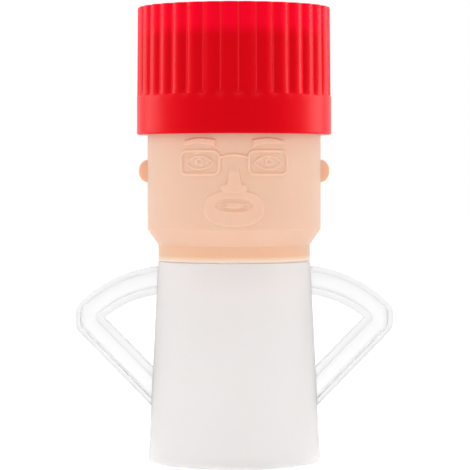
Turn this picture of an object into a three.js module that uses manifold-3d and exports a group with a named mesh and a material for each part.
// A vented container in the shape of a small standing figure, in millimetres, +Z up, with its face
// towards -Y and its origin at the centre of the base. Three mouldings stack on one axis: a cup with two
// arm loops, a head whose skirt plugs into the cup, and a pleated hat that drops over the head.
import * as THREE from "three";
import { mergeVertices } from "three/addons/utils/BufferGeometryUtils.js";
import Module from "manifold-3d";

const wasm = await Module();
wasm.setup();

// Clearances between the three mouldings, and between the nodes of one moulding.
const fit = {
  seat: 0.3, // rim to neck ring, and hat stop to vent deck
  plug: 0.3, // skirt to cup bore, on the radius
  hat: 0.35, // head to hat bore, on the radius
  joint: 0.3, // arm root to cup wall
};

// The cup: a tapered beaker on a low foot ring.
const cup = {
  height: 59.3,
  baseRadius: 25.75,
  mouthRadius: 22.75,
  wall: 1.4,
  floor: 2,
  rimRound: 0.9,
  footRound: 0.8,
  footWidth: 2.4,
  footHeight: 0.6,
};

// One arm: an I-section strip that springs from the rim, turns at the elbow and runs back to the wall.
const arm = {
  reach: 24.65, // from the mouth radius out to the flat of the elbow
  crownDrop: 1.15, // top of the arch below the cup's rim
  archRadius: 39.85,
  archInset: 4.05, // centre of the arch inside the mouth radius
  elbowDrop: 19.7, // lower corner of the elbow below the cup's rim
  slope: THREE.MathUtils.degToRad(45.7),
  strip: 8.2,
  outerRim: 1.45,
  innerRim: 2.1,
  rimDepth: 6,
  web: 1.3,
  elbowRound: 2,
};

// The head: neck ring, sloping jaw, straight face up to a perforated vent deck hidden by the hat.
const head = {
  radius: 25.9,
  wall: 1.5,
  deck: 1.5,
  ringHeight: 4.9,
  ringBevel: 1,
  ringInset: 0.1, // neck ring inside the cup's mouth radius
  jawHeight: 4.65,
  faceShown: 28.2, // jaw line to the brim of the hat
  covered: 30.15, // brim of the hat to the vent deck
  topRound: 1,
  plugDepth: 8,
  ventRadius: 2.6,
  ventCircle: 13.5,
  vents: 6,
};

// Ears: half-discs that stand out of the sides at mid-depth, `up` the face as a share of what shows.
const ear = { height: 6.7, standOut: 2.6, thickness: 2.6, up: 0.617 };

// Raised features of the face, each centred `up` the face as a share of what shows.
const face = {
  relief: 0.5,
  noseRelief: 0.9,
  rootDepth: 0.6, // how far the features reach into the wall
  eye: { up: 0.7, apart: 20.6, width: 8.6, height: 3.8, line: 0.7, iris: 1.3 },
  glasses: { up: 0.7, width: 12.8, height: 7.6, line: 0.8, round: 2.2, bridgeUp: 0.75, bridgeBow: 0.8 },
  brow: { up: 0.9, width: 9.8, height: 1.4, bow: 0.7 },
  nose: { up: 0.54, height: 8.4, topWidth: 2.6, width: 7.2, round: 1.4 },
  beard: { up: 0.23, width: 17.4, height: 10.4 },
  mouth: { up: 0.265, width: 10.6, height: 4.4, lipWidth: 7.8, lipHeight: 0.9 },
};

// The hat: a plain band below, pleats with sharp valleys above, vents in the top.
const hat = {
  bandWall: 2.8, // walls measured out from the bore
  pleatWall: 2.7,
  pleatTopWall: 2.45,
  bandHeight: 11.7,
  bandRound: 0.5,
  pleatDepth: 0.75,
  pleats: 34,
  turn: THREE.MathUtils.degToRad(2.6), // how far the hat is turned from square on the head
  ledge: 0.5, // height of the slope between band and valleys
  topRound: 0.6,
  topWall: 1.5,
  stopDrop: 6, // length of the fins that seat on the vent deck
  stopWidth: 1.6,
  stopReach: 5,
  stops: 4,
  ventRadius: 2,
  ventCircle: 11,
  vents: 8,
};

const TURN = 72; // facets of a turned piece
const PLEAT_FACETS = 4; // facets across one pleat
const CURVE = 12; // facets of a short curve
const OVERSIZE = 5; // how far a cutter runs past what it cuts
const FIN_ROOT = 0.4; // how far a stop fin reaches into the hat's wall and top

// Heights that the stack sets.
const neckZ = cup.height + fit.seat;
const jawZ = neckZ + head.ringHeight + head.jawHeight;
const hatZ = jawZ + head.faceShown;
const deckZ = hatZ + head.covered;
const hatTopZ = deckZ + fit.seat + hat.stopDrop + hat.topWall;
const faceZ = (up) => jawZ + up * head.faceShown;
const neckRadius = cup.mouthRadius - head.ringInset;
const plugBore = Math.min(cupRadius(cup.height), cupRadius(cup.height - head.plugDepth)) - cup.wall;
const plugRadius = plugBore - fit.plug;
const hatBore = head.radius + fit.hat;
const bandRadius = hatBore + hat.bandWall;
const pleatRadius = hatBore + hat.pleatWall;
const pleatTopRadius = hatBore + hat.pleatTopWall;

// ---- Solids ----

// A closed three.js geometry as a manifold solid.
function solid(geometry) {
  geometry.deleteAttribute("normal");
  geometry.deleteAttribute("uv");
  const merged = mergeVertices(geometry, 1e-4);
  return new wasm.Manifold(
    new wasm.Mesh({
      numProp: 3,
      vertProperties: merged.getAttribute("position").array,
      triVerts: new Uint32Array(merged.index.array),
    }),
  );
}

// A manifold solid as a three.js geometry.
function geometryOf(body) {
  const mesh = body.getMesh();
  const geometry = new THREE.BufferGeometry();
  geometry.setAttribute("position", new THREE.BufferAttribute(mesh.vertProperties, 3));
  geometry.setIndex(new THREE.BufferAttribute(mesh.triVerts, 1));
  const flat = geometry.toNonIndexed();
  flat.computeVertexNormals();
  return flat;
}

// A profile of [radius, height] points turned about Z. It starts and ends on the axis, or closes.
function turned(points, facets = TURN) {
  const profile = points.map(([radius, height]) => new THREE.Vector2(radius, height));
  return new THREE.LatheGeometry(profile, facets).rotateX(Math.PI / 2);
}

// A shape drawn in X and Z, extruded along Y from `near` to `far`.
function plate(shape, near, far) {
  const geometry = new THREE.ExtrudeGeometry(shape, {
    depth: far - near,
    bevelEnabled: false,
    curveSegments: CURVE,
  });
  return solid(geometry.rotateX(Math.PI / 2).translate(0, far, 0));
}

// Points of a quarter-round corner from one angle to another, in quarter turns.
function corner(radius, height, round, from, to, steps = 3) {
  return Array.from({ length: steps + 1 }, (_, i) => {
    const angle = (Math.PI / 2) * (from + ((to - from) * i) / steps);
    return [radius + round * Math.cos(angle), height + round * Math.sin(angle)];
  });
}

// An upright round hole cutter.
function drill(radius, x, y, low, high) {
  const cutter = new THREE.CylinderGeometry(radius, radius, high - low, CURVE * 2);
  return solid(cutter.rotateX(Math.PI / 2).translate(x, y, (low + high) / 2));
}

// A ring of round holes through a horizontal wall, with one in the middle.
function drillRing(body, { ventRadius, ventCircle, vents }, low, high) {
  let cut = body.subtract(drill(ventRadius, 0, 0, low, high));
  for (let i = 0; i < vents; i++) {
    const angle = (2 * Math.PI * i) / vents;
    const [x, y] = [ventCircle * Math.cos(angle), ventCircle * Math.sin(angle)];
    cut = cut.subtract(drill(ventRadius, x, y, low, high));
  }
  return cut;
}

// ---- Cup ----

// Outer radius of the cup's tapered wall at a height.
function cupRadius(z) {
  return THREE.MathUtils.lerp(cup.baseRadius, cup.mouthRadius, z / cup.height);
}

function makeCup() {
  const bottom = cup.footHeight + cup.floor;
  const recess = cup.baseRadius - cup.footWidth - cup.footRound;
  return solid(
    turned([
      [0, cup.footHeight],
      [recess - cup.footHeight, cup.footHeight],
      [recess, 0],
      ...corner(cup.baseRadius - cup.footRound, cup.footRound, cup.footRound, -1, 0),
      ...corner(cup.mouthRadius - cup.rimRound, cup.height - cup.rimRound, cup.rimRound, 0, 1),
      [cup.mouthRadius - cup.wall, cup.height],
      [cupRadius(bottom) - cup.wall, bottom],
      [0, bottom],
    ]),
  );
}

// ---- Arms ----

// The arm's outline moved inwards by `inset`, closed along the cup's inner wall. Seen from the front,
// on the -X side: an arch, an upright flat at the elbow, and a straight run back to the wall.
function armOutline(inset) {
  const centreX = -(cup.mouthRadius - arm.archInset);
  const centreZ = cup.height - arm.crownDrop - arm.archRadius;
  const radius = arm.archRadius - inset;
  const flatX = -(cup.mouthRadius + arm.reach - inset);
  const rootX = cup.wall - cup.mouthRadius;
  const archZ = (x) => centreZ + Math.sqrt(radius ** 2 - (x - centreX) ** 2);
  const rise = Math.tan(arm.slope);
  const lowX = -(cup.mouthRadius + arm.reach);
  const lowZ = cup.height - arm.elbowDrop + inset / Math.cos(arm.slope);
  const runZ = (x) => lowZ - (x - lowX) * rise;

  // Where arch and run would meet if there were no flat: the left root of the circle and the line.
  const lead = lowZ + lowX * rise - centreZ;
  const [a, b] = [1 + rise ** 2, centreX + lead * rise];
  const meetX = (b - Math.sqrt(b ** 2 - a * (centreX ** 2 + lead ** 2 - radius ** 2))) / a;
  const hasFlat = runZ(flatX) < archZ(flatX);
  const upper = hasFlat ? [flatX, archZ(flatX)] : [meetX, archZ(meetX)];
  const lower = hasFlat ? [flatX, runZ(flatX)] : upper;
  const round = Math.max(arm.elbowRound - inset / 4, arm.web / 2);

  const shape = new THREE.Shape();
  const archEnd = Math.atan2(upper[1] - centreZ, upper[0] - centreX) - round / radius;
  const runStart = lower[0] + round * Math.cos(arm.slope);
  const archStart = Math.atan2(archZ(rootX) - centreZ, rootX - centreX);
  shape.moveTo(rootX, archZ(rootX));
  shape.absarc(centreX, centreZ, radius, archStart, archEnd, false);
  if (hasFlat && upper[1] - lower[1] > 2 * round) {
    shape.quadraticCurveTo(upper[0], upper[1], flatX, upper[1] - round);
    shape.lineTo(flatX, lower[1] + round);
    shape.quadraticCurveTo(lower[0], lower[1], runStart, runZ(runStart));
  } else {
    shape.bezierCurveTo(upper[0], upper[1], lower[0], lower[1], runStart, runZ(runStart));
  }
  shape.lineTo(rootX, runZ(rootX));
  return shape;
}

// The strip between two insets of the outline, centred on the mid-plane.
function armStrip(from, to, depth) {
  const outer = plate(armOutline(from), -depth / 2, depth / 2);
  const inner = plate(armOutline(to), -depth / 2 - OVERSIZE, depth / 2 + OVERSIZE);
  return outer.subtract(inner);
}

function makeArm() {
  const strip = armStrip(0, arm.strip, arm.web)
    .add(armStrip(0, arm.outerRim, arm.rimDepth))
    .add(armStrip(arm.strip - arm.innerRim, arm.strip, arm.rimDepth));
  const clear = fit.joint;
  const core = turned([
    [0, -OVERSIZE],
    [cupRadius(-OVERSIZE) + clear, -OVERSIZE],
    [cupRadius(cup.height + OVERSIZE) + clear, cup.height + OVERSIZE],
    [0, cup.height + OVERSIZE],
  ]);
  return strip.subtract(solid(core));
}

// ---- Head ----

function makeHeadShell() {
  const ringTop = neckZ + head.ringHeight;
  const innerNeck = plugRadius - head.wall;
  const innerFace = head.radius - head.wall;
  const shell = turned([
    [0, deckZ - head.deck],
    [innerFace, deckZ - head.deck],
    [innerFace, jawZ + head.wall / 2],
    [innerNeck, ringTop + head.wall / 2],
    [innerNeck, neckZ - head.plugDepth],
    [plugRadius, neckZ - head.plugDepth],
    [plugRadius, neckZ],
    [neckRadius - head.ringBevel, neckZ],
    [neckRadius, neckZ + head.ringBevel],
    [neckRadius, ringTop],
    [head.radius, jawZ],
    ...corner(head.radius - head.topRound, deckZ - head.topRound, head.topRound, 0, 1),
    [0, deckZ],
  ]);
  return drillRing(solid(shell), head, deckZ - head.deck - OVERSIZE, deckZ + OVERSIZE);
}

// An ear on the +X or -X side: the outer half of a flattened disc rooted in the head's wall.
function makeEar(side) {
  const inside = head.radius - head.wall / 2;
  const disc = new THREE.CylinderGeometry(ear.height / 2, ear.height / 2, ear.thickness, CURVE * 2);
  disc.scale((ear.standOut + head.wall / 2) / (ear.height / 2), 1, 1);
  disc.translate(side * inside, 0, faceZ(ear.up));
  const outward = new THREE.BoxGeometry(ear.height, ear.height, 2 * ear.height);
  outward.translate(side * (inside + ear.height / 2), 0, faceZ(ear.up));
  return solid(disc).intersect(solid(outward));
}

// A wall-thick ring round the face that stands out by `relief`, from which features are cut.
function faceRing(relief) {
  const inner = head.radius - face.rootDepth;
  const outer = head.radius + relief;
  return solid(
    turned([
      [inner, jawZ],
      [outer, jawZ],
      [outer, deckZ],
      [inner, deckZ],
      [inner, jawZ],
    ]),
  );
}

// A raised feature: an outline seen from the front, wrapped on the face.
function raised(shape, relief = face.relief) {
  return plate(shape, -head.radius - OVERSIZE, 0).intersect(faceRing(relief));
}

function ellipse(x, z, width, height) {
  const shape = new THREE.Shape();
  shape.absellipse(x, z, width / 2, height / 2, 0, 2 * Math.PI, false, 0);
  return shape;
}

// A pointed oval with its corners level: the outline of an open eye or of closed lips.
function almond(x, z, width, height) {
  const shape = new THREE.Shape();
  shape.moveTo(x - width / 2, z);
  shape.quadraticCurveTo(x, z - height, x + width / 2, z);
  shape.quadraticCurveTo(x, z + height, x - width / 2, z);
  return shape;
}

function makeEye(side) {
  const { up, apart, width, height, line, iris } = face.eye;
  const [x, z] = [(side * apart) / 2, faceZ(up)];
  const lids = raised(almond(x, z, width, height));
  const ball = raised(almond(x, z, width - 3 * line, height - 2 * line), 2 * face.relief);
  return lids.subtract(ball).add(raised(ellipse(x, z, 2 * iris, 2 * iris)));
}

function makeBrow(side) {
  const { up, width, height, bow } = face.brow;
  const [x, z] = [(side * face.eye.apart) / 2, faceZ(up)];
  const shape = new THREE.Shape();
  shape.moveTo(x - width / 2, z - height / 2);
  shape.quadraticCurveTo(x, z - height / 2 + 2 * bow, x + width / 2, z - height / 2);
  shape.quadraticCurveTo(x + width / 2 + height / 2, z, x + width / 2, z + height / 2);
  shape.quadraticCurveTo(x, z + height / 2 + 2 * bow, x - width / 2, z + height / 2);
  shape.quadraticCurveTo(x - width / 2 - height / 2, z, x - width / 2, z - height / 2);
  return raised(shape);
}

// A rectangle with rounded corners, centred on a point.
function roundedRectangle(x, z, width, height, round) {
  const [left, right, low, high] = [x - width / 2, x + width / 2, z - height / 2, z + height / 2];
  const shape = new THREE.Shape();
  shape.moveTo(left + round, low);
  shape.lineTo(right - round, low);
  shape.quadraticCurveTo(right, low, right, low + round);
  shape.lineTo(right, high - round);
  shape.quadraticCurveTo(right, high, right - round, high);
  shape.lineTo(left + round, high);
  shape.quadraticCurveTo(left, high, left, high - round);
  shape.lineTo(left, low + round);
  shape.quadraticCurveTo(left, low, left + round, low);
  return shape;
}

// Plain spectacles: two rims round the eyes and an arched bridge between them.
function makeGlasses() {
  const { up, width, height, line, round, bridgeUp, bridgeBow } = face.glasses;
  const bridgeEnd = face.eye.apart / 2 - width / 2 + line / 2;
  const [low, high] = [faceZ(bridgeUp) - line / 2, faceZ(bridgeUp) + line / 2];
  const bridge = new THREE.Shape();
  bridge.moveTo(-bridgeEnd, low);
  bridge.quadraticCurveTo(0, low + 2 * bridgeBow, bridgeEnd, low);
  bridge.lineTo(bridgeEnd, high);
  bridge.quadraticCurveTo(0, high + 2 * bridgeBow, -bridgeEnd, high);
  bridge.lineTo(-bridgeEnd, low);
  let glasses = raised(bridge);
  for (const side of [-1, 1]) {
    const [x, z] = [(side * face.eye.apart) / 2, faceZ(up)];
    const rim = raised(roundedRectangle(x, z, width, height, round));
    const lens = roundedRectangle(x, z, width - 2 * line, height - 2 * line, round - line);
    glasses = glasses.add(rim.subtract(raised(lens, 2 * face.relief)));
  }
  return glasses;
}

function makeNose() {
  const { up, height, topWidth, width, round } = face.nose;
  const low = faceZ(up) - height / 2;
  const shape = new THREE.Shape();
  shape.moveTo(-width / 2 + round, low);
  shape.lineTo(width / 2 - round, low);
  shape.quadraticCurveTo(width / 2, low, width / 2, low + round);
  shape.quadraticCurveTo(topWidth / 2, low + height / 2, topWidth / 2, low + height);
  shape.quadraticCurveTo(0, low + height + round, -topWidth / 2, low + height);
  shape.quadraticCurveTo(-topWidth / 2, low + height / 2, -width / 2, low + round);
  shape.quadraticCurveTo(-width / 2, low, -width / 2 + round, low);
  return raised(shape, face.noseRelief);
}

// A short round beard with the mouth left open in it, and closed lips in the opening.
function makeBeard() {
  const { beard, mouth } = face;
  const outline = raised(ellipse(0, faceZ(beard.up), beard.width, beard.height));
  const opening = ellipse(0, faceZ(mouth.up), mouth.width, mouth.height);
  const lips = almond(0, faceZ(mouth.up), mouth.lipWidth, mouth.lipHeight);
  return outline.subtract(raised(opening, 2 * face.relief)).add(raised(lips));
}

function makeHead() {
  let body = makeHeadShell().add(makeNose()).add(makeBeard()).add(makeGlasses());
  for (const side of [-1, 1]) {
    body = body.add(makeEar(side)).add(makeEye(side)).add(makeBrow(side));
  }
  return body;
}

// ---- Hat ----

// Pulls the pleated stretch of the outer surface in, most at the valleys: each pleat is an arc.
function pleat(geometry, fromZ) {
  const position = geometry.getAttribute("position");
  const outside = (hatBore + pleatTopRadius - hat.pleatDepth) / 2;
  for (let i = 0; i < position.count; i++) {
    const [x, y, z] = [position.getX(i), position.getY(i), position.getZ(i)];
    const radius = Math.hypot(x, y);
    if (z < fromZ || radius < outside) continue;
    const turn = (Math.atan2(y, x) / (2 * Math.PI)) * hat.pleats;
    const across = 2 * Math.abs(turn - Math.floor(turn) - 0.5);
    const scale = 1 - (hat.pleatDepth * across ** 2) / radius;
    position.setXY(i, x * scale, y * scale);
  }
  return geometry;
}

function makeHat() {
  const bandTop = hatZ + hat.bandHeight;
  const ceiling = hatTopZ - hat.topWall;
  const body = turned(
    [
      [0, ceiling],
      [hatBore, ceiling],
      [hatBore, hatZ],
      [bandRadius - hat.bandRound, hatZ],
      [bandRadius, hatZ + hat.bandRound],
      [bandRadius, bandTop - hat.ledge],
      [pleatRadius, bandTop],
      [pleatTopRadius, hatTopZ - hat.topRound],
      [pleatTopRadius - hat.topRound, hatTopZ],
      [0, hatTopZ],
    ],
    hat.pleats * PLEAT_FACETS,
  );
  let shell = solid(pleat(body, bandTop - hat.ledge / 2));
  for (let i = 0; i < hat.stops; i++) {
    const fin = new THREE.BoxGeometry(hat.stopReach + FIN_ROOT, hat.stopWidth, hat.stopDrop + FIN_ROOT);
    fin.translate(hatBore - (hat.stopReach - FIN_ROOT) / 2, 0, ceiling - (hat.stopDrop - FIN_ROOT) / 2);
    fin.rotateZ((2 * Math.PI * (i + 0.5)) / hat.stops);
    shell = shell.add(solid(fin));
  }
  return drillRing(shell, hat, ceiling - OVERSIZE, hatTopZ + OVERSIZE);
}

// ---- Assembly ----

function material(color, roughness, opacity = 1) {
  return new THREE.MeshStandardMaterial({
    color,
    roughness,
    metalness: 0,
    opacity,
    transparent: opacity < 1,
  });
}

const frosted = material(0xeae6e3, 0.5, 0.85);
const clear = material(0xf6f6f5, 0.25, 0.35);
const peach = material(0xefc8ae, 0.5);
const red = material(0xdb0018, 0.35);

function piece(name, body, finish) {
  const mesh = new THREE.Mesh(geometryOf(body), finish);
  mesh.name = name;
  return mesh;
}

const cupGroup = new THREE.Group();
cupGroup.add(piece("cup", makeCup(), frosted));
cupGroup.add(piece("arm_left", makeArm(), clear));
const armRight = piece("arm_right", makeArm(), clear);
armRight.rotation.z = Math.PI;
cupGroup.add(armRight);

const figure = new THREE.Group();
figure.name = "figure_container";
const hatMesh = piece("hat", makeHat(), red);
hatMesh.rotation.z = hat.turn;
figure.add(cupGroup, piece("head", makeHead(), peach), hatMesh);

export default figure;
